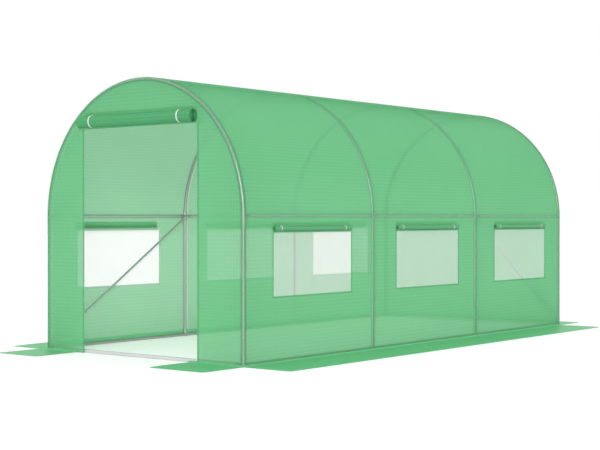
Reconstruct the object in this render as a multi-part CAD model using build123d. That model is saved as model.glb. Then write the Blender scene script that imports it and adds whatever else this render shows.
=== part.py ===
"""Polytunnel greenhouse: steel hoops under a film cover, with a rolled-up door and netted windows.

The origin is on the ground at the middle of the tunnel. +Y runs from the door end to the back,
+X is the right-hand side as seen from the door, and +Z is up. Lengths are in millimetres.
"""

import os
from math import degrees

from build123d import *

# Overall sizes, over the film and without the skirts
LENGTH = 4500.0
WIDTH = 1970.0
HEIGHT = 1996.0
BAY_COUNT = 3

# Steel tube and the push-fit fittings that join it
TUBE_D = 25.0
TUBE_WALL = 0.8
HUB_WALL = 2.0  # of the sleeve along a hoop
SOCKET_WALL = 1.5  # of the sockets for the rails, a little slimmer than the sleeve
SOCKET_DEPTH = 45.0
SOCKET_CLEARANCE = 0.15  # between a tube and its socket, on the radius
STOP_WALL = 4.0  # what is left between the ends of two tubes in one fitting
END_CLEARANCE = 0.3  # between a tube's end and the stop

# Diagonal braces with flattened ends
BRACE_D = 19.0
BRACE_WALL = 0.8
TAB_LENGTH = 40.0
TAB_WIDTH = 24.0
TAB_T = 4.0
FLARE_LENGTH = 35.0  # from the flat tab to the round tube
TAB_GAP = 1.2  # from a lower tab to the socket under it
BRACE_CLEARANCE = 0.3  # between a tab and the fitting that it lies against

# Film cover
FILM_T = 2.0
FILM_CLEARANCE = 0.3  # between the fittings and the film stretched over them
SKIRT_WIDTH = 400.0  # the flap that lies on the ground
SKIRT_SHIFT = 76.0  # how far the front skirts are set to the left of the panels behind them

# Rolled-up film of the door and the window covers
ROLL_PITCH = 5.0  # from one turn to the next
ROLL_CORE_R = 6.0  # the hollow in the middle of a roll
ROLL_OVERHANG = 12.0  # past each side of the opening
ROLL_RISE = 4.0  # from the head of the opening to the tie under the roll
HANGER_RISE = 25.0  # the film's sewn strip above the roll
TIE_T = 1.5
TIE_CLEARANCE = 0.3  # between the roll and its tie

# Doorway in the front panel
DOOR_WIDTH = 1132.0
DOOR_CROWN_DROP = 350.0  # from the top of the film to the head of the doorway
DOOR_ROLL_D = 90.0
DOOR_TIE_WIDTH = 13.0
DOOR_TIE_INSET = 126.0  # from the side of the doorway

# Netted windows, one in each bay of both side walls
WINDOW_WIDTH = 898.0
WINDOW_HEIGHT = 440.0
WINDOW_RAIL_DROP = 115.0  # from the side rail to the head of a window
WINDOW_ROLL_D = 40.0
WINDOW_TIE_WIDTH = 10.0
WINDOW_TIE_INSET = 80.0  # from the side of the window
NET_T = 1.0
NET_LAP = 20.0  # how far the net is sewn past the edge of the window

# Places and radii that follow from the sizes above
TUBE_R = TUBE_D / 2
SOCKET_R = TUBE_R + SOCKET_CLEARANCE
HUB_R = SOCKET_R + HUB_WALL
RAIL_SOCKET_R = SOCKET_R + SOCKET_WALL
OUTER_R = WIDTH / 2  # outside of the roof and the side walls
OUTER_Y = LENGTH / 2  # outside of the end panels
COVER_R = OUTER_R - FILM_T
COVER_Y = OUTER_Y - FILM_T
HOOP_INSET = FILM_T + FILM_CLEARANCE + HUB_R  # from the outside of the film to the middle of a tube
ARCH_R = OUTER_R - HOOP_INSET  # the middle of a hoop's tube
SPRING_Z = HEIGHT - OUTER_R  # where the legs end and the arch begins
RIDGE_Z = SPRING_Z + ARCH_R
BASE_Z = HUB_R  # the middle of the tubes along the ground
SOCKET_START = SOCKET_R + STOP_WALL  # from a fitting's middle to the bottom of a side socket
SOCKET_END = SOCKET_START + SOCKET_DEPTH
TUBE_START = SOCKET_START + END_CLEARANCE  # from a fitting's middle to the end of a side tube
HOOP_PITCH = (LENGTH - 2 * HOOP_INSET) / BAY_COUNT
HOOP_Y = [HOOP_INSET - OUTER_Y + number * HOOP_PITCH for number in range(BAY_COUNT + 1)]
BAY_Y = [(front + back) / 2 for front, back in zip(HOOP_Y, HOOP_Y[1:])]
DOOR_HEAD = HEIGHT - DOOR_CROWN_DROP
WINDOW_HEAD = SPRING_Z - WINDOW_RAIL_DROP
WINDOW_SILL = WINDOW_HEAD - WINDOW_HEIGHT
HALF_TURN = 180
QUARTER_TURN = 90


# Basic shapes


def rod(start, end, radius):
    """A round bar between two points."""
    run = Vector(*end) - Vector(*start)
    return Solid.make_cylinder(radius, run.length, Plane(origin=start, z_dir=run))


def tube(start, end, diameter, wall):
    """A straight tube between two points."""
    return rod(start, end, diameter / 2) - rod(start, end, diameter / 2 - wall)


def slab(low, high):
    """A block between two opposite corners."""
    size = [top - bottom for bottom, top in zip(low, high)]
    return Pos(*low) * Box(*size, align=(Align.MIN, Align.MIN, Align.MIN))


def arch_angle(length):
    """The angle that a length along the arch covers, in degrees."""
    return degrees(length / ARCH_R)


def arch_rod(y, start_angle, end_angle, radius):
    """A round bar bent along a hoop, between two angles up from the right-hand springing."""
    axis = Axis((0, y, SPRING_Z), (0, -1, 0))
    section = Plane(origin=(ARCH_R, y, SPRING_Z)) * Circle(radius)
    return revolve(section, axis, end_angle - start_angle).rotate(axis, start_angle)


def to_left(shape):
    """The same piece on the left-hand side."""
    return mirror(shape, about=Plane.YZ)


def group(pieces):
    """Separate solids in one node."""
    return Compound(children=[solid for piece in pieces for solid in piece.solids()])


# Fittings


def rail_directions(number):
    """The ways along Y that rails leave hoop number: inwards at the ends, both ways between."""
    return [way for way, there in ((-1, number > 0), (1, number < BAY_COUNT)) if there]


def rail_sockets(centre, number, radius, start):
    """The bars along the rails of hoop number, from start to the mouths of the sockets."""
    x, y, z = centre
    return [
        rod((x, y + way * start, z), (x, y + way * SOCKET_END, z), radius)
        for way in rail_directions(number)
    ]


def ridge_fitting(number):
    """The sleeve at the top of a hoop that joins its two arcs and the ridge tubes."""
    y, centre = HOOP_Y[number], (0, HOOP_Y[number], RIDGE_Z)
    stop, mouth = arch_angle(STOP_WALL / 2), arch_angle(STOP_WALL / 2 + SOCKET_DEPTH)
    body = arch_rod(y, QUARTER_TURN - mouth, QUARTER_TURN + mouth, HUB_R)
    body = body + rail_sockets(centre, number, RAIL_SOCKET_R, 0)
    bores = [
        arch_rod(y, QUARTER_TURN - mouth, QUARTER_TURN - stop, SOCKET_R),
        arch_rod(y, QUARTER_TURN + stop, QUARTER_TURN + mouth, SOCKET_R),
    ]
    return body - bores - rail_sockets(centre, number, SOCKET_R, SOCKET_START)


def shoulder_fitting(number):
    """The sleeve on the right where a leg meets the arch, with sockets for the side rails."""
    y, centre = HOOP_Y[number], (ARCH_R, HOOP_Y[number], SPRING_Z)
    stop, mouth = STOP_WALL / 2, STOP_WALL / 2 + SOCKET_DEPTH
    foot = (ARCH_R, y, SPRING_Z - mouth)
    body = rod(foot, centre, HUB_R) + arch_rod(y, 0, arch_angle(mouth), HUB_R)
    body = body + rail_sockets(centre, number, RAIL_SOCKET_R, 0)
    bores = [
        rod(foot, (ARCH_R, y, SPRING_Z - stop), SOCKET_R),
        arch_rod(y, arch_angle(stop), arch_angle(mouth), SOCKET_R),
    ]
    return body - bores - rail_sockets(centre, number, SOCKET_R, SOCKET_START)


def foot_fitting(number):
    """The foot under a right-hand leg, with sockets for the tubes along the ground."""
    y, centre = HOOP_Y[number], (ARCH_R, HOOP_Y[number], BASE_Z)
    body = rod((ARCH_R, y, 0), (ARCH_R, y, BASE_Z + SOCKET_END), HUB_R)
    body = body + rail_sockets(centre, number, RAIL_SOCKET_R, 0)
    bores = [rod((ARCH_R, y, BASE_Z + SOCKET_START), (ARCH_R, y, BASE_Z + SOCKET_END), SOCKET_R)]
    if number in (0, BAY_COUNT):
        mouth = (ARCH_R - SOCKET_END, y, BASE_Z)
        body = body + rod(centre, mouth, RAIL_SOCKET_R)
        bores.append(rod((ARCH_R - SOCKET_START, y, BASE_Z), mouth, SOCKET_R))
    return body - bores - rail_sockets(centre, number, SOCKET_R, SOCKET_START)


# Tubes of the frame


def leg(number):
    """The straight right-hand leg of a hoop, from its foot to the shoulder."""
    y = HOOP_Y[number]
    bottom = (ARCH_R, y, BASE_Z + TUBE_START)
    top = (ARCH_R, y, SPRING_Z - STOP_WALL / 2 - END_CLEARANCE)
    return tube(bottom, top, TUBE_D, TUBE_WALL)


def hoop_arch(number):
    """The two quarter arcs of a hoop, which meet in the ridge fitting."""
    y, stop = HOOP_Y[number], arch_angle(STOP_WALL / 2 + END_CLEARANCE)
    ends = (y, stop, QUARTER_TURN - stop)
    right = arch_rod(*ends, TUBE_R) - arch_rod(*ends, TUBE_R - TUBE_WALL)
    return group([right, to_left(right)])


def rails(x, z):
    """One tube in each bay, between the fittings of neighbouring hoops."""
    return group(
        tube((x, front + TUBE_START, z), (x, back - TUBE_START, z), TUBE_D, TUBE_WALL)
        for front, back in zip(HOOP_Y, HOOP_Y[1:])
    )


def end_base_rail(number):
    """The tube on the ground across an end of the tunnel."""
    y, reach = HOOP_Y[number], ARCH_R - TUBE_START
    return tube((-reach, y, BASE_Z), (reach, y, BASE_Z), TUBE_D, TUBE_WALL)


def brace():
    """The diagonal in the right-hand wall of the last bay, bolted inside a foot and a shoulder."""
    x = ARCH_R - HUB_R - BRACE_CLEARANCE - TAB_T / 2
    low = Vector(x, HOOP_Y[-1], BASE_Z + RAIL_SOCKET_R + TAB_GAP + TAB_WIDTH / 2)
    run = Vector(x, HOOP_Y[-2], SPRING_Z) - low
    along = Plane(origin=low, x_dir=(1, 0, 0), z_dir=run)
    flare_end = TAB_LENGTH + FLARE_LENGTH
    half_inner = BRACE_D / 2 - BRACE_WALL
    flat = Rectangle(TAB_T, TAB_WIDTH)
    round_bar = Circle(BRACE_D / 2)
    pipe = extrude(Pos(0, 0, flare_end) * (round_bar - Circle(half_inner)), run.length - 2 * flare_end)
    flare = loft([Pos(0, 0, TAB_LENGTH) * flat, Pos(0, 0, flare_end) * round_bar])
    tab = slab((-TAB_T / 2, -TAB_WIDTH / 2, 0), (TAB_T / 2, TAB_WIDTH / 2, TAB_LENGTH))
    tip = rod((-TAB_T / 2, 0, 0), (TAB_T / 2, 0, 0), TAB_WIDTH / 2)
    end = tip + tab + flare
    far_end = mirror(end, about=Plane(origin=(0, 0, run.length / 2), z_dir=(0, 0, 1)))
    return along * (pipe + end + far_end)


# Film cover


def roof_film():
    """The half-round sheet over the hoops."""
    axis = Axis((0, 0, SPRING_Z), (0, -1, 0))
    strip = Pos((COVER_R + OUTER_R) / 2, 0, SPRING_Z) * Rectangle(FILM_T, 2 * COVER_Y)
    return revolve(strip, axis, HALF_TURN)


def side_wall_film():
    """The right-hand wall sheet, with a window cut in each bay."""
    wall = slab((COVER_R, -COVER_Y, 0), (OUTER_R, COVER_Y, SPRING_Z))
    half = WINDOW_WIDTH / 2
    holes = [slab((COVER_R, y - half, WINDOW_SILL), (OUTER_R, y + half, WINDOW_HEAD)) for y in BAY_Y]
    return wall - holes


def end_panel():
    """The whole sheet across the front end, as wide as the cover."""
    sides = Rectangle(2 * OUTER_R, SPRING_Z, align=(Align.CENTER, Align.MIN))
    outline = sides + Pos(0, SPRING_Z) * Circle(OUTER_R)
    above_ground = Rectangle(2 * OUTER_R, SPRING_Z + OUTER_R, align=(Align.CENTER, Align.MIN))
    return extrude(Plane.XZ.offset(COVER_Y) * (outline & above_ground), FILM_T)


def front_panel_right():
    """The front panel beside the doorway, up to its head."""
    return end_panel() & slab((DOOR_WIDTH / 2, -OUTER_Y, 0), (OUTER_R, -COVER_Y, DOOR_HEAD))


def front_panel_top():
    """The front panel over the doorway."""
    return end_panel() & slab((-OUTER_R, -OUTER_Y, DOOR_HEAD), (OUTER_R, -COVER_Y, HEIGHT + OUTER_R))


def side_skirt():
    """The right-hand flap on the ground."""
    return slab((OUTER_R, -OUTER_Y, 0), (OUTER_R + SKIRT_WIDTH, OUTER_Y, FILM_T))


def front_skirt(start, end):
    """A flap on the ground in front of the tunnel, from start to end along X."""
    return slab((start, -OUTER_Y - SKIRT_WIDTH, 0), (end, -OUTER_Y, FILM_T))


def back_skirt():
    """The flap on the ground behind the back panel."""
    return slab((-OUTER_R, OUTER_Y, 0), (OUTER_R, OUTER_Y + SKIRT_WIDTH, FILM_T))


# Rolled-up door and window covers


def roll_profile(radius):
    """The section of a rolled sheet that hangs from a sewn strip on the wall at u = 0.

    The strip comes down the wall to the roll's middle at v = 0 and winds in by half turns.
    """
    half_turns = int(2 * (radius - ROLL_CORE_R) / ROLL_PITCH)
    strip_top = radius + HANGER_RISE
    edges = [
        Line((0, 0), (0, strip_top)),
        Line((0, strip_top), (FILM_T, strip_top)),
        Line((FILM_T, strip_top), (FILM_T, 0)),
    ]
    for turn in range(half_turns):
        upper = turn % 2
        centre = (radius + upper * ROLL_PITCH / 2, 0)
        outer = radius - turn * ROLL_PITCH / 2
        start = 0 if upper else HALF_TURN
        edges.append(CenterArc(centre, outer, start, HALF_TURN))
        edges.append(CenterArc(centre, outer - FILM_T, start, HALF_TURN))
    edges.append(Line(edges[-2] @ 1, edges[-1] @ 1))
    return make_face(edges)


def tie_profile(radius):
    """The section of a strap that holds a roll to the wall at u = 0, from over it to under it."""
    inner = radius + TIE_CLEARANCE
    outer = inner + TIE_T
    edges = [
        CenterArc((radius, 0), inner, -QUARTER_TURN, HALF_TURN),
        CenterArc((radius, 0), outer, -QUARTER_TURN, HALF_TURN),
        Line((radius, inner), (FILM_T, inner)),
        Line((FILM_T, inner), (FILM_T, outer)),
        Line((FILM_T, outer), (radius, outer)),
        Line((radius, -inner), (0, -inner)),
        Line((0, -inner), (0, -outer)),
        Line((0, -outer), (radius, -outer)),
    ]
    return make_face(edges)


def roll_height(head, diameter):
    """The middle of a roll above the head of its opening."""
    return head + ROLL_RISE + TIE_T + TIE_CLEARANCE + diameter / 2


def door_plane(x):
    """On the front panel at the roll's height: u points out of the tunnel and v up."""
    origin = (x, -OUTER_Y, roll_height(DOOR_HEAD, DOOR_ROLL_D))
    return Plane(origin=origin, x_dir=(0, -1, 0), z_dir=(-1, 0, 0))


def window_plane(y):
    """On the right-hand wall at the roll's height: u points out of the tunnel and v up."""
    origin = (OUTER_R, y, roll_height(WINDOW_HEAD, WINDOW_ROLL_D))
    return Plane(origin=origin, x_dir=(1, 0, 0), z_dir=(0, -1, 0))


def door_roll():
    """The rolled-up door film over the doorway."""
    half = DOOR_WIDTH / 2 + ROLL_OVERHANG
    return extrude(door_plane(half) * roll_profile(DOOR_ROLL_D / 2), 2 * half)


def door_ties():
    """The two straps round the door roll."""
    profile, place = tie_profile(DOOR_ROLL_D / 2), DOOR_WIDTH / 2 - DOOR_TIE_INSET
    half = DOOR_TIE_WIDTH / 2
    return group(extrude(door_plane(x + half) * profile, DOOR_TIE_WIDTH) for x in (-place, place))


def window_rolls():
    """The rolled-up cover over each right-hand window."""
    profile, half = roll_profile(WINDOW_ROLL_D / 2), WINDOW_WIDTH / 2 + ROLL_OVERHANG
    return group(extrude(window_plane(y + half) * profile, 2 * half) for y in BAY_Y)


def window_ties():
    """Two straps round each right-hand window roll."""
    profile, place = tie_profile(WINDOW_ROLL_D / 2), WINDOW_WIDTH / 2 - WINDOW_TIE_INSET
    start = WINDOW_TIE_WIDTH / 2
    return group(
        extrude(window_plane(y + offset + start) * profile, WINDOW_TIE_WIDTH)
        for y in BAY_Y
        for offset in (-place, place)
    )


def window_nets():
    """The insect net behind each right-hand window, sewn to the inside of the film."""
    half = WINDOW_WIDTH / 2 + NET_LAP
    low_z, high_z = WINDOW_SILL - NET_LAP, WINDOW_HEAD + NET_LAP
    return group(slab((COVER_R - NET_T, y - half, low_z), (COVER_R, y + half, high_z)) for y in BAY_Y)


# The named pieces


def frame_nodes():
    """The steel frame."""
    numbers = range(BAY_COUNT + 1)
    right = {
        "legs": group(leg(number) for number in numbers),
        "side_rails": rails(ARCH_R, SPRING_Z),
        "base_rails": rails(ARCH_R, BASE_Z),
        "shoulder_fittings": group(shoulder_fitting(number) for number in numbers),
        "foot_fittings": group(foot_fitting(number) for number in numbers),
    }
    nodes = {f"right_{name}": shape for name, shape in right.items()}
    nodes.update({f"left_{name}": to_left(shape) for name, shape in right.items()})
    names = ["front", *(f"inner_{number}" for number in numbers[1:-1]), "back"]
    nodes.update({f"{name}_hoop_arch": hoop_arch(number) for number, name in enumerate(names)})
    nodes["ridge_tubes"] = rails(0, RIDGE_Z)
    nodes["ridge_fittings"] = group(ridge_fitting(number) for number in numbers)
    nodes["front_base_rail"] = end_base_rail(0)
    nodes["back_base_rail"] = end_base_rail(BAY_COUNT)
    nodes["right_back_brace"] = brace()
    nodes["left_front_brace"] = brace().rotate(Axis.Z, HALF_TURN)
    return nodes


def cover_nodes():
    """The film cover, its nets, rolls and ties."""
    right = {
        "right_wall_film": side_wall_film(),
        "right_skirt": side_skirt(),
        "right_window_nets": window_nets(),
        "right_window_rolls": window_rolls(),
        "right_window_ties": window_ties(),
        "front_panel_right": front_panel_right(),
    }
    nodes = dict(right)
    nodes.update({name.replace("right", "left"): to_left(shape) for name, shape in right.items()})
    nodes["roof_film"] = roof_film()
    nodes["front_panel_top"] = front_panel_top()
    nodes["back_panel"] = mirror(end_panel(), about=Plane.XZ)
    nodes["back_skirt"] = back_skirt()
    nodes["front_right_skirt"] = front_skirt(DOOR_WIDTH / 2 - SKIRT_SHIFT, OUTER_R)
    nodes["front_left_skirt"] = front_skirt(-OUTER_R - SKIRT_SHIFT, -DOOR_WIDTH / 2 - SKIRT_SHIFT)
    nodes["door_roll"] = door_roll()
    nodes["door_ties"] = door_ties()
    return nodes


os.makedirs("parts", exist_ok=True)
for node, shape in {**frame_nodes(), **cover_nodes()}.items():
    export_step(shape, f"parts/{node}.step")
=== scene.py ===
"""Looks of the polytunnel greenhouse: film, seams, hems, nets, rolled-up covers, ties, steel and bolts.

Everything is in metres in the frame of the solids: +Y from the door end to the back, +Z up.
"""
import math
from dataclasses import dataclass

import bpy
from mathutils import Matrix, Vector, noise


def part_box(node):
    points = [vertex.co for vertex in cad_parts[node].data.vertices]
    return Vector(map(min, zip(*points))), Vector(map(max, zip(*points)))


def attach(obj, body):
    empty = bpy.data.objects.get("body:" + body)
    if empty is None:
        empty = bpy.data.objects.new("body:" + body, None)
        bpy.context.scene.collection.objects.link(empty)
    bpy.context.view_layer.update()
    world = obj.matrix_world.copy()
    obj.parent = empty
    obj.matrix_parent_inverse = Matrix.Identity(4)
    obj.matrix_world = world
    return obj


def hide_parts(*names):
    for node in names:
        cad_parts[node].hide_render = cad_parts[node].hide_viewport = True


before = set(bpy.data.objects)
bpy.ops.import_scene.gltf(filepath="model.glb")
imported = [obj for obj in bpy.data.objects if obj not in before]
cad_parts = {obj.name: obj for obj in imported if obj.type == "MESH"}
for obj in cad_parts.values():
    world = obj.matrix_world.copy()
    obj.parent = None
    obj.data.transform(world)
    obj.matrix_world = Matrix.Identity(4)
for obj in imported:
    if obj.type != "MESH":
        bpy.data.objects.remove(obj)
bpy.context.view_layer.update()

# Places read from the solids
HOOP_NODES = ("front_hoop_arch", "inner_1_hoop_arch", "inner_2_hoop_arch", "back_hoop_arch")
SIDES = ((-1, "left"), (1, "right"))
UP = Vector((0, 0, 1))
NET_LAP = 0.02  # how far a net is sewn past the edge of its window
roof_low, roof_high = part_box("roof_film")
panel_low, panel_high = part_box("back_panel")
door_low, door_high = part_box("front_panel_right")
net_low, net_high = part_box("right_window_nets")
skirt_low, skirt_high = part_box("right_skirt")
leg_low, leg_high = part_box("right_legs")
base_low, base_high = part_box("back_base_rail")
FILM = panel_high.y - panel_low.y
R_OUT = roof_high.x  # outside of the roof and the side walls
SPRING = roof_low.z  # where the walls end and the arch begins
Y_OUT = panel_high.y  # outside of the end panels
DOOR_HALF = door_low.x
DOOR_HEAD = door_high.z
HOOPS = []
for hoop_node in HOOP_NODES:
    low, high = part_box(hoop_node)
    HOOPS.append((low.y + high.y) / 2)
BAYS = [(front + back) / 2 for front, back in zip(HOOPS, HOOPS[1:])]
SILL = net_low.z + NET_LAP
HEAD = net_high.z - NET_LAP
WINDOW_HALF = BAYS[0] - net_low.y - NET_LAP
SKIRT = skirt_high.x - R_OUT
ARCH_R = (leg_low.x + leg_high.x) / 2  # to the middle of a hoop's tube
TUBE_R = (leg_high.x - leg_low.x) / 2
EDGE_R = R_OUT - ARCH_R  # of the film's turn round an end hoop
BASE_Z = (base_low.z + base_high.z) / 2


# Building sheets


class Sheet:
    """One layer of cloth as welded points, each with its normal and its place on the flat cloth."""

    def __init__(self):
        self.points = []
        self.normals = []
        self.flat = []
        self.faces = []
        self.known = {}

    def point(self, place, normal, flat):
        key = tuple(round(c, 5) for c in place)
        if key not in self.known:
            self.known[key] = len(self.points)
            self.points.append(Vector(place))
            self.normals.append(Vector(normal))
            self.flat.append(flat)
        return self.known[key]

    def face(self, *corners):
        ring = [c for i, c in enumerate(corners) if c != corners[i - 1]]
        if len(ring) > 2:
            self.faces.append(ring)

    def grid(self, rows):
        """Faces between rows of points."""
        for low, high in zip(rows, rows[1:]):
            for a, b, c, d in zip(low, low[1:], high[1:], high):
                self.face(a, b, c, d)

    def outward(self):
        """The faces, each wound so that it looks along the normals of its points."""
        wound = []
        for ring in self.faces:
            a, b, c = (self.points[i] for i in ring[:3])
            turned = (b - a).cross(c - a).dot(self.normals[ring[0]]) < 0
            wound.append(ring[::-1] if turned else ring)
        return wound


def lines(stops, step):
    """The stops with even steps between them, none longer than step."""
    out = [stops[0]]
    for a, b in zip(stops, stops[1:]):
        count = max(1, math.ceil(abs(b - a) / step - 1e-6))
        out += [a + (b - a) * i / count for i in range(1, count + 1)]
    return out


def add_mesh(name, points, faces, flat, material):
    """A smooth-shaded object whose UV map holds the place of each point on the flat cloth."""
    mesh = bpy.data.meshes.new(name)
    mesh.from_pydata([tuple(p) for p in points], [], faces)
    layer = mesh.uv_layers.new(name="flat")
    for loop in mesh.loops:
        layer.data[loop.index].uv = flat[loop.vertex_index]
    mesh.polygons.foreach_set("use_smooth", [True] * len(mesh.polygons))
    mesh.materials.append(material)
    mesh.validate()
    piece = bpy.data.objects.new(name, mesh)
    bpy.context.scene.collection.objects.link(piece)
    return piece


def shell(name, sheet, thickness, material):
    """A closed thin piece: the sheet's points and the same points moved in against their normals."""
    faces = sheet.outward()
    count = len(sheet.points)
    points = sheet.points + [p - n * thickness for p, n in zip(sheet.points, sheet.normals)]
    edges = {(a, b) for ring in faces for a, b in zip(ring, ring[1:] + ring[:1])}
    both = [list(ring) for ring in faces] + [[i + count for i in ring[::-1]] for ring in faces]
    both += [[b, a, a + count, b + count] for a, b in sorted(edges) if (b, a) not in edges]
    piece = add_mesh(name, points, both, sheet.flat * 2, material)
    piece.data.set_sharp_from_angle(angle=math.radians(50))
    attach(piece, "root")
    return piece


def paint(piece, material, chosen):
    """A second material on the faces whose middle is chosen."""
    piece.data.materials.append(material)
    for polygon in piece.data.polygons:
        if chosen(polygon.center):
            polygon.material_index = 1


def wave(place, size, seed):
    """Smooth noise from -1 to 1 with features of about that size."""
    return noise.noise(Vector(place) / size + Vector((seed, seed * 0.37, seed * 1.71)))


# Materials

FILM_COLOUR = (0.256, 0.683, 0.378)
THREAD_COLOUR = (0.243, 0.654, 0.36)
DENSE_COLOUR = (0.13, 0.55, 0.24)
ROLL_THREAD = (0.112, 0.485, 0.206)
WINDOW_ROLL_COLOUR = (0.176, 0.58, 0.283)
WINDOW_ROLL_THREAD = (0.155, 0.52, 0.25)
SKIRT_COLOUR = (0.15, 0.58, 0.255)
SKIRT_THREAD = (0.135, 0.53, 0.23)
# darker green painted on the roof and along the ridge as shade
RIDGE_SHADE_COLOUR = (0.0, 0.45, 0.13, 1.0)
# the seams' colour, also painted as shade along the edges of the clear bands
SEAM_AND_SHADE_COLOUR = (0.06, 0.30, 0.13, 1.0)
WHITE = (1.0, 1.0, 1.0, 1.0)
GRID_PITCH = 0.026  # of the film's reinforcing threads
HEM_PITCH = 0.004
NET_PITCH = 0.0045
TAPE_PITCH = 0.0022
FILM_OPEN = 0.44  # share of the film that is seen through
FILM_GLOW = 0.55  # share of the rest that glows with light from behind
THREAD_OPEN = 0.82  # how open the threads are beside the film between them
CLEAR_SHARE = 0.64  # share that is seen through where the film is drawn tight over a tube
TIGHT_LEAN = 0.026  # how far the clear bands lie beside the hoops
ROOF_SHADE_SHARE = 0.12  # of the painted shade on the roof, a deeper green
RIDGE_SHADE_SHARE = 0.38  # and along the ridge
SEAM_SHARE = 0.45  # of the seam's colour beside the end hoops
BAND_SHADE_SHARE = 0.25  # and as painted shade along the edges of the clear bands
SEAM_INSET = 0.007  # from the middle of an end hoop's tube to the middle of a seam
SEAM_HALF = 0.005


class Tree:
    """A material's nodes."""

    def __init__(self, name):
        self.material = bpy.data.materials.new(name)
        self.material.use_nodes = True
        self.nodes = self.material.node_tree.nodes
        self.links = self.material.node_tree.links
        self.nodes.clear()

    def add(self, kind, inputs=None, **settings):
        node = self.nodes.new("ShaderNode" + kind)
        for key, value in settings.items():
            setattr(node, key, value)
        for key, value in (inputs or {}).items():
            if isinstance(value, bpy.types.NodeSocket):
                self.links.new(value, node.inputs[key])
            else:
                node.inputs[key].default_value = value
        return node

    def math(self, operation, a, b=0.0):
        return self.add("Math", {0: a, 1: b}, operation=operation).outputs[0]

    def distance(self, value, place):
        """How far a value is from a place."""
        return self.math("ABSOLUTE", self.math("SUBTRACT", value, place))

    def mix_colour(self, factor, a, b):
        return self.add("Mix", {0: factor, 6: a, 7: b}, data_type="RGBA").outputs[2]

    def noise(self, place, scale, detail):
        return self.add("TexNoise", {"Vector": place, "Scale": scale, "Detail": detail}).outputs[0]

    def bump(self, height, strength, distance):
        return self.add("Bump", {"Height": height, "Strength": strength, "Distance": distance}).outputs[0]

    def mix_shader(self, factor, a, b):
        return self.add("MixShader", {0: factor, 1: a, 2: b}).outputs[0]

    def surface(self, shader):
        output = self.add("OutputMaterial")
        self.links.new(shader, output.inputs["Surface"])
        return self.material


def shades(colour, darkest, lightest):
    """A colour made darker and lighter, for a cloudy mix of the two."""
    dark = tuple(c * darkest for c in colour) + (1.0,)
    light = tuple(min(1.0, c * lightest) for c in colour) + (1.0,)
    return dark, light


def thread_mask(tree, pitch, width):
    """1 on the threads of a square grid over the flat cloth, 0 between them."""
    cloth = tree.add("UVMap", uv_map="flat").outputs[0]
    axes = tree.add("SeparateXYZ", {0: cloth})
    masks = []
    for axis in (0, 1):
        place = tree.math("FRACT", tree.math("DIVIDE", axes.outputs[axis], pitch))
        off = tree.distance(place, 0.5)
        ramp = tree.add(
            "MapRange",
            {0: off, 1: 0.5 - width / pitch, 2: 0.5 - 0.35 * width / pitch, 3: 0.0, 4: 1.0},
            interpolation_type="SMOOTHSTEP",
        )
        masks.append(ramp.outputs[0])
    return tree.math("MAXIMUM", *masks)


def fade(tree, value, full, none):
    """1 where a value is at full, fading to 0 where it is at none."""
    ramp = {0: value, 1: full, 2: none, 3: 1.0, 4: 0.0}
    return tree.add("MapRange", ramp, interpolation_type="SMOOTHSTEP").outputs[0]


def over_rail(tree, height, place):
    """1 where the film is drawn tight over a tube that lies level at a height."""
    return fade(tree, tree.distance(place, height), 0.8 * TUBE_R, 1.3 * TUBE_R)


def over_cover_tubes(tree, axes):
    """1 where the cover is drawn tight over the hoops, the side rails and the tubes on the ground.

    The bands lie to the front of the hoops on the right and to the back on the left, where the tubes
    show through them from the photo's side.
    """
    height = axes.outputs[2]
    lean = tree.math("MULTIPLY", tree.math("SIGN", axes.outputs[0]), TIGHT_LEAN)
    leaning = tree.math("ADD", axes.outputs[1], lean)
    bands = [fade(tree, tree.distance(leaning, hoop), 1.4 * TUBE_R, 2.2 * TUBE_R) for hoop in HOOPS]
    bands += [over_rail(tree, SPRING, height), over_rail(tree, BASE_Z, height)]
    mask = bands[0]
    for band in bands[1:]:
        mask = tree.math("MAXIMUM", mask, band)
    return mask


def arch_radius(tree, axes):
    """The distance from the middle of the arch, and on the walls from the middle of the tunnel."""
    rise = tree.math("MAXIMUM", tree.math("SUBTRACT", axes.outputs[2], SPRING), 0.0)
    across = tree.math("MULTIPLY", axes.outputs[0], axes.outputs[0])
    return tree.math("SQRT", tree.math("ADD", across, tree.math("MULTIPLY", rise, rise)))


def over_panel_tubes(tree, axes):
    """1 where an end panel is drawn tight over its hoop and the tube on the ground."""
    hoop = fade(tree, arch_radius(tree, axes), ARCH_R - 0.5 * TUBE_R, ARCH_R - 1.2 * TUBE_R)
    return tree.math("MAXIMUM", hoop, over_rail(tree, BASE_Z, axes.outputs[2]))


def cover_seams(tree, axes):
    """1 along the seams that join the cover to the end panels, beside the end hoops."""
    length = tree.math("ABSOLUTE", axes.outputs[1])
    return fade(tree, tree.distance(length, HOOPS[-1] - SEAM_INSET), 0.6 * SEAM_HALF, SEAM_HALF)


def panel_seams(tree, axes):
    """1 along the seam that joins an end panel to the cover, inside its hoop."""
    off = tree.distance(arch_radius(tree, axes), ARCH_R - SEAM_INSET)
    return fade(tree, off, 0.6 * SEAM_HALF, SEAM_HALF)


def ridge_shade(tree, height):
    """0 on the walls, a little on the roof and most along the ridge, where the film is darkened as painted
    shade.
    """
    roof = fade(tree, height, SPRING + 0.4 * R_OUT, SPRING)
    ridge = fade(tree, height, SPRING + 0.97 * R_OUT, SPRING + 0.78 * R_OUT)
    return tree.math(
        "ADD", tree.math("MULTIPLY", roof, ROOF_SHADE_SHARE), tree.math("MULTIPLY", ridge, RIDGE_SHADE_SHARE)
    )


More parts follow.
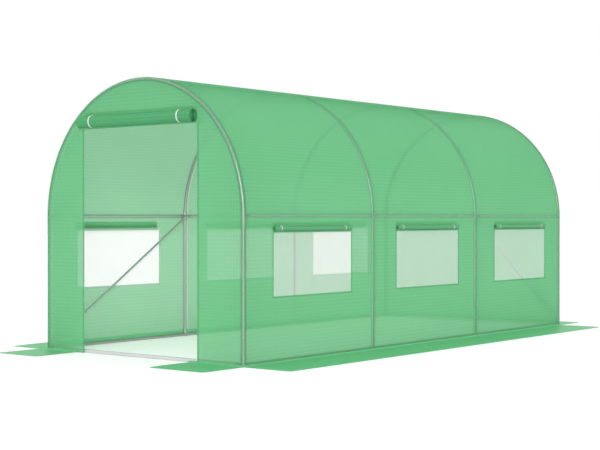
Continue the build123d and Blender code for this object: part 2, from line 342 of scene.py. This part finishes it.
def film(
    name, colour, thread, open_share=FILM_OPEN, through=FILM_GLOW,
    pitch=GRID_PITCH, thread_open=THREAD_OPEN, over_tubes=None, seams=None,
):
    """Green film with a reinforcing grid.

    open_share of it is seen through, and through is the share of the rest that glows with light from
    behind. over_tubes gives the bands that are drawn tight over tubes, and seams the seams beside them;
    the edges of those bands are darkened with the seams' colour as painted shade.
    """
    tree = Tree(name)
    mask = thread_mask(tree, pitch, 0.2 * pitch)
    place = tree.add("TexCoord").outputs["Object"]
    cloudy = tree.noise(place, 2.3, 3.0)
    fine = tree.noise(place, 60.0, 2.0)
    body = tree.mix_colour(cloudy, *shades(colour, 0.93, 1.05))
    shade = tree.mix_colour(mask, body, thread + (1.0,))
    axes = tree.add("SeparateXYZ", {0: place})
    # painted shade: the cover's green darkens towards the ridge
    if over_tubes is over_cover_tubes:
        shade = tree.mix_colour(ridge_shade(tree, axes.outputs[2]), shade, RIDGE_SHADE_COLOUR)
    if over_tubes:
        tight = over_tubes(tree, axes)
        # painted shade: the edges of the tight bands are darkened with the seams' colour
        edges = tree.math("MULTIPLY", tight, tree.math("SUBTRACT", 1.0, tight))
        sewn = tree.math("MULTIPLY", seams(tree, axes), SEAM_SHARE)
        sewn = tree.math("MAXIMUM", sewn, tree.math("MULTIPLY", edges, 4 * BAND_SHADE_SHARE))
        shade = tree.mix_colour(sewn, shade, SEAM_AND_SHADE_COLOUR)
    height = tree.math("ADD", mask, tree.math("MULTIPLY", fine, 0.5))
    bump = tree.bump(height, 0.12, 0.0006)
    rough = tree.math("ADD", tree.math("MULTIPLY", fine, 0.16), 0.36)
    coat = {"Base Color": shade, "Roughness": rough, "Specular IOR Level": 0.22, "Normal": bump}
    skin = tree.add("BsdfPrincipled", coat).outputs[0]
    glow = tree.add("BsdfTranslucent", {"Color": shade, "Normal": bump}).outputs[0]
    cloth = tree.mix_shader(through, skin, glow)
    if open_share == 0:
        return tree.surface(cloth)
    thin = tree.math("SUBTRACT", 1.0, tree.math("MULTIPLY", mask, 1 - thread_open))
    opening = tree.math("MULTIPLY", thin, open_share)
    if over_tubes:
        ramp = {0: tight, 1: 0.0, 2: 1.0, 3: opening, 4: CLEAR_SHARE}
        opening = tree.add("MapRange", ramp).outputs[0]
        opening = tree.math("MULTIPLY", opening, tree.math("SUBTRACT", 1.0, sewn))
    gap = tree.add("BsdfTransparent", {"Color": WHITE}).outputs[0]
    return tree.surface(tree.mix_shader(opening, cloth, gap))


def net_material():
    """White insect net: fine threads with more opening than thread."""
    tree = Tree("insect_net")
    mask = thread_mask(tree, NET_PITCH, 0.0014)
    place = tree.add("TexCoord").outputs["Object"]
    shade = tree.mix_colour(tree.noise(place, 5.0, 2.0), (0.86, 0.87, 0.86, 1.0), (0.94, 0.95, 0.94, 1.0))
    bump = tree.bump(mask, 0.3, 0.0005)
    coat = {"Base Color": shade, "Roughness": 0.75, "Specular IOR Level": 0.1, "Normal": bump}
    thread = tree.add("BsdfPrincipled", coat).outputs[0]
    glow = tree.add("BsdfTranslucent", {"Color": shade, "Normal": bump}).outputs[0]
    cloth = tree.mix_shader(0.5, thread, glow)
    opening = tree.math("SUBTRACT", 0.90, tree.math("MULTIPLY", mask, 0.30))
    gap = tree.add("BsdfTransparent", {"Color": WHITE}).outputs[0]
    return tree.surface(tree.mix_shader(opening, cloth, gap))


def strap_material():
    """White woven tape."""
    tree = Tree("woven_tape")
    mask = thread_mask(tree, TAPE_PITCH, 0.0008)
    shade = tree.mix_colour(mask, (0.90, 0.91, 0.89, 1.0), (0.72, 0.74, 0.71, 1.0))
    bump = tree.bump(mask, 0.4, 0.0003)
    coat = {"Base Color": shade, "Roughness": 0.8, "Specular IOR Level": 0.15, "Normal": bump}
    return tree.surface(tree.add("BsdfPrincipled", coat).outputs[0])


def steel_material(name, colour, metal, rough):
    """Grey coated steel, a little cloudy, with small blemishes."""
    tree = Tree(name)
    place = tree.add("TexCoord").outputs["Object"]
    speck = tree.noise(place, 320.0, 2.0)
    shade = tree.mix_colour(tree.noise(place, 7.0, 4.0), *shades(colour, 0.9, 1.06))
    roughness = tree.math("ADD", tree.math("MULTIPLY", speck, 0.18), rough - 0.09)
    bump = tree.bump(speck, 0.08, 0.0004)
    coat = {"Base Color": shade, "Metallic": metal, "Roughness": roughness, "Normal": bump}
    return tree.surface(tree.add("BsdfPrincipled", coat).outputs[0])


cover_film = film("cover_film", FILM_COLOUR, THREAD_COLOUR, over_tubes=over_cover_tubes, seams=cover_seams)
panel_film = film("panel_film", FILM_COLOUR, THREAD_COLOUR, over_tubes=over_panel_tubes, seams=panel_seams)
edge_film = film("edge_film", FILM_COLOUR, THREAD_COLOUR, open_share=0.79, thread_open=0.96)
strip_film = film("strip_film", FILM_COLOUR, THREAD_COLOUR, open_share=0.50)
hem_film = film("hem_film", DENSE_COLOUR, THREAD_COLOUR, 0.78, 0.45, pitch=HEM_PITCH, thread_open=0.8)
skirt_film = film("skirt_film", SKIRT_COLOUR, SKIRT_THREAD, open_share=0.0, through=0.08)
roll_film = film("roll_film", DENSE_COLOUR, ROLL_THREAD, open_share=0.0, through=0.40)
window_roll_film = film(
    "window_roll_film", WINDOW_ROLL_COLOUR, WINDOW_ROLL_THREAD, open_share=0.0, through=0.40
)
net_white = net_material()
tape_white = strap_material()
tube_grey = steel_material("tube_steel", (0.46, 0.46, 0.455), 0.9, 0.30)
# lighter copies of the tube's steel, as painted light on the base rails, side rails and braces
base_rail_lit_grey = steel_material("base_rail_lit_steel", (0.72, 0.72, 0.73), 0.8, 0.34)
rails_and_braces_lit_grey = steel_material("rail_steel", (0.60, 0.60, 0.60), 0.85, 0.32)
fitting_grey = steel_material("fitting_steel", (0.47, 0.47, 0.465), 0.9, 0.36)
bolt_grey = steel_material("bolt_steel", (0.55, 0.55, 0.54), 0.9, 0.3)


# Film cover

ARC_STEPS = 72  # of the cover over the whole arch
PANEL_STEP = math.radians(2.5)  # of an end panel along the arch
PANEL_ROWS = 24  # from the ground to the doorway's head, and up a leg
TOP_ROWS = 8  # from the doorway's head to the arch
TURN_STEP = math.radians(12)  # of the film round an end hoop
PANEL_FILM = 0.6 * FILM
ROOF_DIP = 0.006  # how far the film hangs in between two hoops
SKIRT_FILM = 0.002
SKIRT_GAP = 0.0002  # between a skirt and the ground
SKIRT_CORNER = 0.035
FOLD_RISE = 0.010  # of a skirt's fold where it meets the wall
FOLD_REACH = 0.006
SKIRT_LIFT = 0.0035  # of a skirt's waves off the ground


def roof_dip(angle, y):
    """How far the film hangs in between two hoops, none over the ridge and the rails."""
    dip = 0.0
    for front, back in zip(HOOPS, HOOPS[1:]):
        if front < y < back:
            dip = math.sin(math.pi * (y - front) / (back - front)) ** 2
    return ROOF_DIP * dip * math.sin(2 * angle) ** 2


def cover_section():
    """Places, normals and arch angles across the cover, from the left to the right. Walls have no angle."""
    wall = lines([0, SILL, HEAD, SPRING], 0.062)
    section = [(Vector((-R_OUT, 0, z)), Vector((-1, 0, 0)), None) for z in wall[:-1]]
    for i in range(ARC_STEPS + 1):
        angle = math.pi * (1 - i / ARC_STEPS)
        x, z = math.cos(angle), math.sin(angle)
        section.append((Vector((R_OUT * x, 0, SPRING + R_OUT * z)), Vector((x, 0, z)), angle))
    section += [(Vector((R_OUT, 0, z)), Vector((1, 0, 0)), None) for z in wall[-2::-1]]
    return section


def in_window(y, z):
    return SILL < z < HEAD and any(abs(y - bay) < WINDOW_HALF for bay in BAYS)


def cover():
    """The sheet from the ground on the left over the hoops to the ground on the right, with window cuts."""
    sheet = Sheet()
    section = cover_section()
    stops = list(HOOPS)
    for bay in BAYS:
        stops += [bay - WINDOW_HALF, bay + WINDOW_HALF]
    ys = lines(sorted(stops), 0.075)
    travel = 0.0
    before = section[0][0]
    rows = []
    for base, normal, angle in section:
        travel += (base - before).length
        before = base
        row = []
        for y in ys:
            dip = 0.0 if angle is None else roof_dip(angle, y)
            place = base - normal * dip + Vector((0, y, 0))
            row.append(sheet.point(place, normal, (travel, y)))
        rows.append(row)
    for r, (low, high) in enumerate(zip(rows, rows[1:])):
        z = (section[r][0].z + section[r + 1][0].z) / 2
        for c, (front, back) in enumerate(zip(ys, ys[1:])):
            if not in_window((front + back) / 2, z):
                sheet.face(low[c], low[c + 1], high[c + 1], high[c])
    piece = shell("cover_sheet", sheet, FILM, cover_film)
    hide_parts("roof_film", "left_wall_film", "right_wall_film")


def turn_round_hoop(sheet, way, arc):
    """The film's quarter turn from an end panel round the hoop to the cover. arc holds the arch's angles."""
    outline = [(ARCH_R, SPRING * i / PANEL_ROWS, 0.0) for i in range(PANEL_ROWS)]
    outline += [(ARCH_R * math.cos(a), SPRING + ARCH_R * math.sin(a), a) for a in arc]
    outline += [(-ARCH_R, SPRING * i / PANEL_ROWS, math.pi) for i in reversed(range(PANEL_ROWS))]
    rows = []
    for x, z, angle in outline:
        reach = Vector((math.cos(angle), 0, math.sin(angle)))
        row = []
        for turn in lines([0, math.pi / 2], TURN_STEP):
            normal = reach * math.sin(turn) + Vector((0, way * math.cos(turn), 0))
            place = Vector((x, way * HOOPS[-1], z)) + normal * EDGE_R
            flat = (x + reach.x * EDGE_R * turn, z + reach.z * EDGE_R * turn)
            row.append(sheet.point(place, normal, flat))
        rows.append(row)
    sheet.grid(rows)


def end_panel(name, way, doorway, nodes):
    """The sheet across an end and round its hoop, way -1 at the front and 1 at the back."""
    sheet = Sheet()

    def add(x, z):
        return sheet.point((x, way * Y_OUT, z), (0, way, 0), (x, z))

    def top(x):
        return SPRING + math.sqrt(max(0.0, ARCH_R * ARCH_R - x * x))

    def on_turn(place):
        return math.hypot(place.x, max(0.0, place.z - SPRING)) > ARCH_R

    head_angle = math.asin((DOOR_HEAD - SPRING) / ARCH_R)
    door_angle = math.acos(DOOR_HALF / ARCH_R)
    side = [ARCH_R * math.cos(a) for a in lines([0, head_angle, door_angle], PANEL_STEP)]
    for sign in (-1, 1):
        rows = []
        for x in side:
            height = min(top(x), DOOR_HEAD)
            rows.append([add(sign * x, height * i / PANEL_ROWS) for i in range(PANEL_ROWS + 1)])
        sheet.grid(rows)
    over = lines([head_angle, door_angle, math.pi - door_angle, math.pi - head_angle], PANEL_STEP)
    rows = []
    for x in (ARCH_R * math.cos(a) for a in over):
        rise = top(x) - DOOR_HEAD
        rows.append([add(x, DOOR_HEAD + rise * i / TOP_ROWS) for i in range(TOP_ROWS + 1)])
    sheet.grid(rows)
    if not doorway:
        inner = [x for x in (ARCH_R * math.cos(a) for a in over) if abs(x) <= DOOR_HALF + 1e-6]
        sheet.grid([[add(x, DOOR_HEAD * i / PANEL_ROWS) for i in range(PANEL_ROWS + 1)] for x in inner])
    shoulder = lines([0, head_angle], PANEL_STEP)
    far_shoulder = [math.pi - a for a in reversed(shoulder)]
    turn_round_hoop(sheet, way, shoulder[:-1] + over + far_shoulder[1:])
    piece = shell(name, sheet, PANEL_FILM, panel_film)
    paint(piece, edge_film, on_turn)
    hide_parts(*nodes)
    turned = EDGE_R * math.pi / 2
    area = 2 * ARCH_R * SPRING + math.pi * ARCH_R**2 / 2
    area += turned * (2 * SPRING + math.pi * ARCH_R) + math.pi * EDGE_R**2
    if doorway:
        area -= 2 * DOOR_HALF * DOOR_HEAD


def skirt(node, start, along, out, length):
    """A flap on the ground from start, running along and lying out from the wall, with round corners."""
    sheet = Sheet()
    start, along, out = Vector(start), Vector(along), Vector(out)
    ends = [SKIRT_CORNER * (1 - math.cos(math.radians(turn))) for turn in range(0, 91, 10)]
    stations = ends + lines([SKIRT_CORNER, length - SKIRT_CORNER], 0.05)[1:-1]
    stations += [length - end for end in reversed(ends)]
    widths = lines([0, FOLD_REACH, 0.02, SKIRT - SKIRT_CORNER, SKIRT], 0.045)
    rows = []
    for a in stations:
        inside = max(0.0, SKIRT_CORNER - min(a, length - a))
        short = SKIRT_CORNER - math.sqrt(max(0.0, SKIRT_CORNER**2 - inside**2))
        row = []
        for d in widths:
            reach = min(d, SKIRT - short)
            fold = FOLD_RISE * math.exp(-reach / FOLD_REACH)
            place = start + along * a + out * reach
            free = min(1.0, reach / 0.1)
            lift = free * SKIRT_LIFT * max(0.0, wave(place, 0.30, 3.1) + 0.25)
            height = SKIRT_FILM + SKIRT_GAP + fold + lift
            row.append(sheet.point((place.x, place.y, height), UP, (a, reach)))
        rows.append(row)
    sheet.grid(rows)
    piece = shell(f"{node}_sheet", sheet, SKIRT_FILM, skirt_film)
    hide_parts(node)


cover()
end_panel("front_panel_sheet", -1, True, ("front_panel_left", "front_panel_right", "front_panel_top"))
end_panel("back_panel_sheet", 1, False, ("back_panel",))
for sign, side_name in SIDES:
    skirt(f"{side_name}_skirt", (sign * R_OUT, -Y_OUT, 0), (0, 1, 0), (sign, 0, 0), 2 * Y_OUT)
    low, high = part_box(f"front_{side_name}_skirt")
    skirt(f"front_{side_name}_skirt", (low.x, -Y_OUT, 0), (1, 0, 0), (0, -1, 0), high.x - low.x)
skirt("back_skirt", (-R_OUT, Y_OUT, 0), (1, 0, 0), (0, 1, 0), 2 * R_OUT)


# Hems

HEM_FILM = 0.0008
HEM_LAP = 0.002  # how far a hem reaches into its opening
DOOR_HEM = 0.016
WINDOW_HEM = 0.010


def hem(name, inner, outer, normal):
    """A flat band between two rows of corners that lies on the film."""
    sheet = Sheet()
    lift = Vector(normal) * HEM_FILM
    rows = [[], []]
    travel = 0.0
    before = Vector(inner[0])
    for a, b in zip(inner, outer):
        a, b = Vector(a), Vector(b)
        travel += (a - before).length
        before = a
        rows[0].append(sheet.point(a + lift, normal, (travel, 0)))
        rows[1].append(sheet.point(b + lift, normal, (travel, (b - a).length)))
    sheet.grid(rows)
    shell(name, sheet, HEM_FILM, hem_film)


def window_ring(sign, bay, grow):
    """The corners round a window and back to the first, moved out by grow."""
    front, back = bay - WINDOW_HALF - grow, bay + WINDOW_HALF + grow
    low, high = SILL - grow, HEAD + grow
    corners = ((front, low), (back, low), (back, high), (front, high), (front, low))
    return [(sign * R_OUT, y, z) for y, z in corners]


for sign, side_name in SIDES:
    heights = lines([0, DOOR_HEAD], 0.1)
    inner = [(sign * (DOOR_HALF - HEM_LAP), -Y_OUT, z) for z in heights]
    outer = [(sign * (DOOR_HALF + DOOR_HEM), -Y_OUT, z) for z in heights]
    hem(f"door_hem_{side_name}", inner, outer, (0, -1, 0))
    for number, bay in enumerate(BAYS, 1):
        inner, outer = window_ring(sign, bay, -HEM_LAP), window_ring(sign, bay, WINDOW_HEM)
        hem(f"{side_name}_window_hem_{number}", inner, outer, (sign, 0, 0))


# Nets

NET_STEP = 0.03
NET_THICK = 0.0006
NET_GAP = 0.0002  # between a net and the film outside it
NET_SLACK = 0.0022
NET_TIGHT = 0.1  # from the edge of the window to where a net is slack


def net(sign, side_name, number, bay):
    """A window's net, sewn to the inside of the wall and a little slack in the middle."""
    sheet = Sheet()
    half = WINDOW_HALF + NET_LAP
    ys = lines([bay - half, bay - WINDOW_HALF, bay + WINDOW_HALF, bay + half], NET_STEP)
    rows = []
    for z in lines([SILL - NET_LAP, SILL, HEAD, HEAD + NET_LAP], NET_STEP):
        row = []
        for y in ys:
            inside = min(WINDOW_HALF - abs(y - bay), z - SILL, HEAD - z)
            loose = max(0.0, min(1.0, inside / NET_TIGHT))
            slack = NET_SLACK * loose * (1 + wave((y * 2, z * 0.6, sign), 0.25, 5.0 + number))
            place = (sign * (R_OUT - FILM - NET_GAP - slack), y, z)
            row.append(sheet.point(place, (sign, 0, 0), (y, z)))
        rows.append(row)
    sheet.grid(rows)
    piece = shell(f"{side_name}_window_net_{number}", sheet, NET_THICK, net_white)
    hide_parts(f"{side_name}_window_nets")


for sign, side_name in SIDES:
    for number, bay in enumerate(BAYS, 1):
        net(sign, side_name, number, bay)


# Rolled-up door and window covers

ROLL_DEPTH = 0.88  # of a roll's height, because it hangs a little flattened against the wall
ROLL_STEPS = 22  # round one turn
ROLL_SAG = 0.0025  # in the middle of a roll's length
ROLL_SETTLE = 1.2  # radians from the strip to where the turns are free to sag and swell
STRIP_CREASE = 0.0008
PINCH_SHARE = 0.05  # of a turn's size under a tie
PINCH_REACH = 0.022
LOOSE_SHARE = 0.05  # of a turn's size at the ends of a roll
LOOSE_REACH = 0.05
TIE_BESIDE = 0.02  # from a tie to the mesh lines beside it
DOOR_TIE = 0.013  # width of the solids of the ties
WINDOW_TIE = 0.010
DOOR_TAPE = 0.75 * DOOR_TIE
WINDOW_TAPE = 0.55 * WINDOW_TIE
TAPE = 0.0014
TAPE_EDGE = 0.0004  # how far the tape's edges are rounded down
TIE_TURN = math.radians(320)
WINDOW_ROLL_SHARE = 0.83  # of the solid's thickness
WINDOW_ROLL_LIFT = 0.006  # of its underside over the solid's
WINDOW_ROLL_SHORT = 0.016  # than the window
WINDOW_ROLL_SHIFT = -0.018  # towards the door end


@dataclass
class Roll:
    """A rolled-up cover: its sizes, where its ties are, its cloth and the sheet that carries it, which is
    not used.
    """

    length: float
    radius: float
    core: float
    turns: float
    thickness: float
    rise: float
    ties: list
    flat_height: float
    cloth: bpy.types.Material
    wall: str

    def path(self):
        """Down the sewn strip, as heights over the middle, and then round and in, as angles."""
        path = [(None, height) for height in lines([self.radius + self.rise, 0], 0.02)[:-1]]
        count = int(self.turns * ROLL_STEPS)
        return path + [(2 * math.pi * self.turns * i / count, None) for i in range(count + 1)]

    def radius_at(self, angle):
        return self.radius - (self.radius - self.core) * angle / (2 * math.pi * self.turns)

    def crease(self, height, a, seed):
        """How far the sewn strip stands off the wall."""
        hold = 1 - height / (self.radius + self.rise)
        return STRIP_CREASE * hold * (1 + wave((a * 3, height, 0), 0.2, seed))

    def swell(self, angle, a, seed):
        """How much a turn differs from a plain one: pinched by ties, loose at the ends and bumpy."""
        pinch = 1 - PINCH_SHARE * sum(math.exp(-((a - spot) / PINCH_REACH) ** 2) for spot in self.ties)
        loose = 1 + LOOSE_SHARE * max(0.0, (abs(a) - self.length / 2 + LOOSE_REACH) / LOOSE_REACH) ** 2
        x, y = math.cos(angle), math.sin(angle)
        bumps = 0.020 * wave((a * 1.2, x * 0.05, y * 0.05), 0.07, seed)
        bumps += 0.012 * wave((a * 4, x * 0.02, y * 0.02), 0.05, seed + 9)
        return pinch * loose - 1 + bumps


def rolled_sheet(name, roll, middle, out, along, seed, node):
    """A sheet wound up below its sewn strip. middle is on the wall at the height of the roll's middle."""
    sheet = Sheet()
    middle, out, along = Vector(middle), Vector(out), Vector(along)
    half = roll.length / 2
    beside_ties = [spot + step for spot in roll.ties for step in (-TIE_BESIDE, 0, TIE_BESIDE)]
    stations = lines(sorted([-half, half] + beside_ties), 0.03)
    rows = []
    travel = 0.0
    before = None
    for angle, height in roll.path():
        if angle is None:
            section = (0, height)
        else:
            radius = roll.radius_at(angle)
            section = (roll.radius - radius * math.cos(angle), -radius * math.sin(angle))
        travel += math.dist(section, before) if before else 0.0
        before = section
        row = []
        for a in stations:
            if angle is None:
                normal = -out
                reach = roll.crease(height, a, seed)
                rise = height
            else:
                settle = min(1.0, angle / ROLL_SETTLE)
                size = radius * (1 + settle * roll.swell(angle, a, seed))
                sag = -ROLL_SAG * settle * (1 - (2 * a / roll.length) ** 2)
                normal = (-out * math.cos(angle) - UP * ROLL_DEPTH * math.sin(angle)).normalized()
                reach = ROLL_DEPTH * (roll.radius - size * math.cos(angle))
                rise = sag - size * math.sin(angle)
            row.append(sheet.point(middle + along * a + out * reach + UP * rise, normal, (travel, a)))
        rows.append(row)
    sheet.grid(rows)

    def on_strip(place):
        return place.z > middle.z and (place - middle).dot(out) < 2.5 * roll.thickness

    piece = shell(name, sheet, roll.thickness, roll.cloth)
    paint(piece, strip_film, on_strip)
    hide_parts(node)


def tie(name, radius, width, middle, out, along, node):
    """A tape that goes round the roll, with its ends between the roll and the wall."""
    sheet = Sheet()
    middle, out, along = Vector(middle), Vector(out), Vector(along)
    inner = radius * 0.965 + TAPE
    rows = []
    travel = 0.0
    before = None
    for angle in lines([TIE_TURN / 2, -TIE_TURN / 2], math.radians(8)):
        x, z = math.cos(angle), math.sin(angle)
        section = (radius + inner * x, inner * z)
        travel += math.dist(section, before) if before else 0.0
        before = section
        row = []
        for share in (-0.5, -0.42, -0.2, 0.0, 0.2, 0.42, 0.5):
            edge = TAPE_EDGE if abs(share) == 0.5 else 0.0
            reach = ROLL_DEPTH * (section[0] - edge * x)
            place = middle + along * (share * width) + out * reach + UP * (section[1] - edge * z)
            row.append(sheet.point(place, out * x + UP * z, (travel, share * width)))
        rows.append(row)
    sheet.grid(rows)
    piece = shell(name, sheet, TAPE, tape_white)
    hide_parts(node)


low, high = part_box("door_roll")
tie_low, tie_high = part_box("door_ties")
door_radius = (high.y - low.y) / 2
door_middle = low.z + door_radius
door_ties = [tie_low.x + DOOR_TIE / 2, tie_high.x - DOOR_TIE / 2]
door_roll = Roll(
    length=2 * DOOR_HALF, radius=door_radius, core=0.009, turns=10.75, thickness=0.001,
    rise=high.z - door_middle - door_radius, ties=door_ties, flat_height=1.75,
    cloth=roll_film, wall="front_panel_sheet",
)
front, across = (0, -1, 0), (1, 0, 0)
rolled_sheet("door_rolled_sheet", door_roll, (0, -Y_OUT, door_middle), front, across, 1.0, "door_roll")
for number, x in enumerate(door_ties, 1):
    place = (x, -Y_OUT, door_middle)
    tie(f"door_tie_{number}", door_radius, DOOR_TAPE, place, front, across, "door_ties")

low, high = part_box("right_window_rolls")
tie_low, tie_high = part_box("right_window_ties")
window_radius = WINDOW_ROLL_SHARE * (high.x - low.x) / 2
window_middle = low.z + WINDOW_ROLL_LIFT + window_radius
window_tie = BAYS[0] - tie_low.y - WINDOW_TIE / 2
window_roll = Roll(
    length=2 * WINDOW_HALF - WINDOW_ROLL_SHORT, radius=window_radius, core=0.004, turns=8.0,
    thickness=0.0008, rise=high.z - window_middle - window_radius, ties=[-window_tie, window_tie],
    flat_height=0.52, cloth=window_roll_film, wall="cover_sheet",
)
for sign, side_name in SIDES:
    out, along = (sign, 0, 0), (0, 1, 0)
    for number, bay in enumerate(BAYS, 1):
        name = f"{side_name}_window_rolled_sheet_{number}"
        y = bay + WINDOW_ROLL_SHIFT
        place = (sign * R_OUT, y, window_middle)
        rolled_sheet(name, window_roll, place, out, along, number + sign * 4.0, f"{side_name}_window_rolls")
        for end, offset in enumerate(window_roll.ties, 1):
            name = f"{side_name}_window_tie_{number}_{end}"
            place = (sign * R_OUT, y + offset, window_middle)
            tie(name, window_radius, WINDOW_TAPE, place, out, along, f"{side_name}_window_ties")


# Steel frame


def steel_of(node_name):
    """The steel of a node of the frame; the side rails, braces and base rails take lighter copies of the
    tube's steel, as painted light.
    """
    if "fittings" in node_name:
        return fitting_grey
    if "side_rails" in node_name or "brace" in node_name:
        return rails_and_braces_lit_grey
    if node_name in ("front_base_rail", "back_base_rail"):
        return base_rail_lit_grey
    return tube_grey


for name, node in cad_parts.items():
    if node.hide_render:
        continue
    node.data.materials.clear()
    node.data.materials.append(steel_of(name))
    node.data.polygons.foreach_set("use_smooth", [True] * len(node.data.polygons))
    node.data.set_sharp_from_angle(angle=math.radians(40))


# Bolts and screws, as rings of (radius, height) from the seat to the top of a head

WASHER = ((0.0068, 0.0), (0.0068, 0.0010), (0.0064, 0.0013))
HEX_HEAD = ((0.0056, 0.0013), (0.0056, 0.0048), (0.0047, 0.0054))
PAN_HEAD = ((0.0042, 0.0), (0.0042, 0.0012), (0.0035, 0.0021), (0.0018, 0.0026))
TAB_HALF = 0.002  # half the thickness of a brace's flat end
TAB_END = 0.012  # from the end of a brace to its bolt
SCREW_REACH = 0.030  # from the middle of a fitting to a screw
FOOT_SCREW = 0.045


def turned_head(points, faces, place, normal, sides, rings):
    """A closed turned or hexagonal head on a seat at place."""
    normal = Vector(normal)
    across = normal.orthogonal().normalized()
    other = normal.cross(across)
    start = len(points)
    for radius, height in rings:
        for side in range(sides):
            angle = 2 * math.pi * side / sides
            reach = across * (radius * math.cos(angle)) + other * (radius * math.sin(angle))
            points.append(Vector(place) + normal * height + reach)
    for ring in range(len(rings) - 1):
        first = start + ring * sides
        for side in range(sides):
            a, b = first + side, first + (side + 1) % sides
            faces.append([a, b, b + sides, a + sides])
    faces.append([start + side for side in reversed(range(sides))])
    faces.append([start + (len(rings) - 1) * sides + side for side in range(sides)])


def brace_bolt_places():
    """Where a bolt's washer sits on the inside of each brace's flat ends."""
    spots = []
    for name, sign, low_hoop, high_hoop in (
        ("right_back_brace", 1, HOOPS[3], HOOPS[2]),
        ("left_front_brace", -1, HOOPS[0], HOOPS[1]),
    ):
        low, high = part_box(name)
        x = (low.x + high.x) / 2 - sign * TAB_HALF
        spots.append(((x, low_hoop, low.z + TAB_END), (-sign, 0, 0)))
        spots.append(((x, high_hoop, high.z - TAB_END), (-sign, 0, 0)))
    return spots


def screw_places():
    """Where the screws sit in the sleeves, on the side of each hoop that faces the middle."""
    low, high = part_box("right_shoulder_fittings")
    sleeve = high.y - HOOPS[-1]
    turn = SCREW_REACH / ARCH_R
    section = [(ARCH_R, BASE_Z + FOOT_SCREW), (ARCH_R, SPRING - SCREW_REACH)]
    for angle in (turn, math.pi / 2 - turn):
        section.append((ARCH_R * math.cos(angle), SPRING + ARCH_R * math.sin(angle)))
    spots = []
    for hoop in HOOPS:
        way = -math.copysign(1, hoop)
        for sign in (-1, 1):
            spots += [((sign * x, hoop + way * sleeve, z), (0, way, 0)) for x, z in section]
    return spots


def frame_bolts():
    """Hexagon bolts with washers on the braces and pan-head screws in the sleeves, as one piece."""
    points, faces = [], []
    for place, normal in brace_bolt_places():
        turned_head(points, faces, place, normal, 24, WASHER)
        turned_head(points, faces, place, normal, 6, HEX_HEAD)
    for place, normal in screw_places():
        turned_head(points, faces, place, normal, 16, PAN_HEAD)
    flat = [(p.y, p.z) for p in points]
    piece = add_mesh("frame_bolts", points, faces, flat, bolt_grey)
    piece.data.set_sharp_from_angle(angle=math.radians(35))
    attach(piece, "root")


frame_bolts()


# Floor, light and camera

FLOOR_HALF = 60.0
INNER_LENGTH = 4.2
INNER_WATTS = 5.0
PHOTO_WIDTH = 600  # pixels
PHOTO_FOCAL = 1333.83  # pixels, from the camera fitted to the photograph
SENSOR = 36.0  # millimetres


def floor_material():
    """White ground that keeps soft shadows, lifted towards the white of the backdrop where it is seen."""
    tree = Tree("studio_floor")
    path = tree.add("LightPath")
    seen = tree.math("MAXIMUM", path.outputs["Is Camera Ray"], path.outputs["Is Glossy Ray"])
    seen = tree.math("MAXIMUM", seen, path.outputs["Is Transmission Ray"])
    base = tree.add("BsdfDiffuse", {"Color": (0.82, 0.82, 0.82, 1.0)})
    lift = tree.add("Emission", {"Color": WHITE, "Strength": tree.math("MULTIPLY", seen, 0.24)})
    return tree.surface(tree.add("AddShader", {0: base.outputs[0], 1: lift.outputs[0]}).outputs[0])


def place_object(name, data):
    """An object for a floor, a lamp or a camera, in the scene."""
    item = bpy.data.objects.new(name, data)
    bpy.context.scene.collection.objects.link(item)
    return item


floor_mesh = bpy.data.meshes.new("studio_floor")
floor_corners = [(FLOOR_HALF * x, FLOOR_HALF * y, 0) for x, y in ((-1, -1), (1, -1), (1, 1), (-1, 1))]
floor_mesh.from_pydata(floor_corners, [], [(0, 1, 2, 3)])
floor_mesh.materials.append(floor_material())
place_object("studio_floor", floor_mesh)

world = bpy.data.worlds.new("studio")
bpy.context.scene.world = world
world.use_nodes = True
backdrop = world.node_tree.nodes["Background"]
backdrop.inputs["Color"].default_value = WHITE
backdrop.inputs["Strength"].default_value = 1.0

sun = bpy.data.lights.new("soft_key", "SUN")
sun.energy = 1.3
sun.angle = math.radians(25)
place_object("soft_key", sun).rotation_euler = (math.radians(75), 0, math.radians(37))

for name, height, turn, width in (("inner_low", 0.06, math.pi, 1.6), ("inner_high", 1.86, 0.0, 0.5)):
    soft = bpy.data.lights.new(name, "AREA")
    soft.shape = "RECTANGLE"
    soft.size = width
    soft.size_y = INNER_LENGTH
    soft.energy = INNER_WATTS
    lamp = place_object(name, soft)
    lamp.location = (0, 0, height)
    lamp.rotation_euler = (turn, 0, 0)
    lamp.visible_camera = False
    lamp.visible_glossy = False

camera = bpy.data.cameras.new("photo_camera")
camera.sensor_width = SENSOR
camera.lens = PHOTO_FOCAL / PHOTO_WIDTH * SENSOR
camera.clip_end = 200.0
eye = place_object("photo_camera", camera)
eye.location = (6.7863, -8.9667, 0.9905)
eye.rotation_euler = (math.radians(90 - 0.2757), 0, math.radians(38.3978))
bpy.context.scene.camera = eye
bpy.context.scene.view_settings.view_transform = "Standard"
bpy.context.scene.cycles.transparent_max_bounces = 32
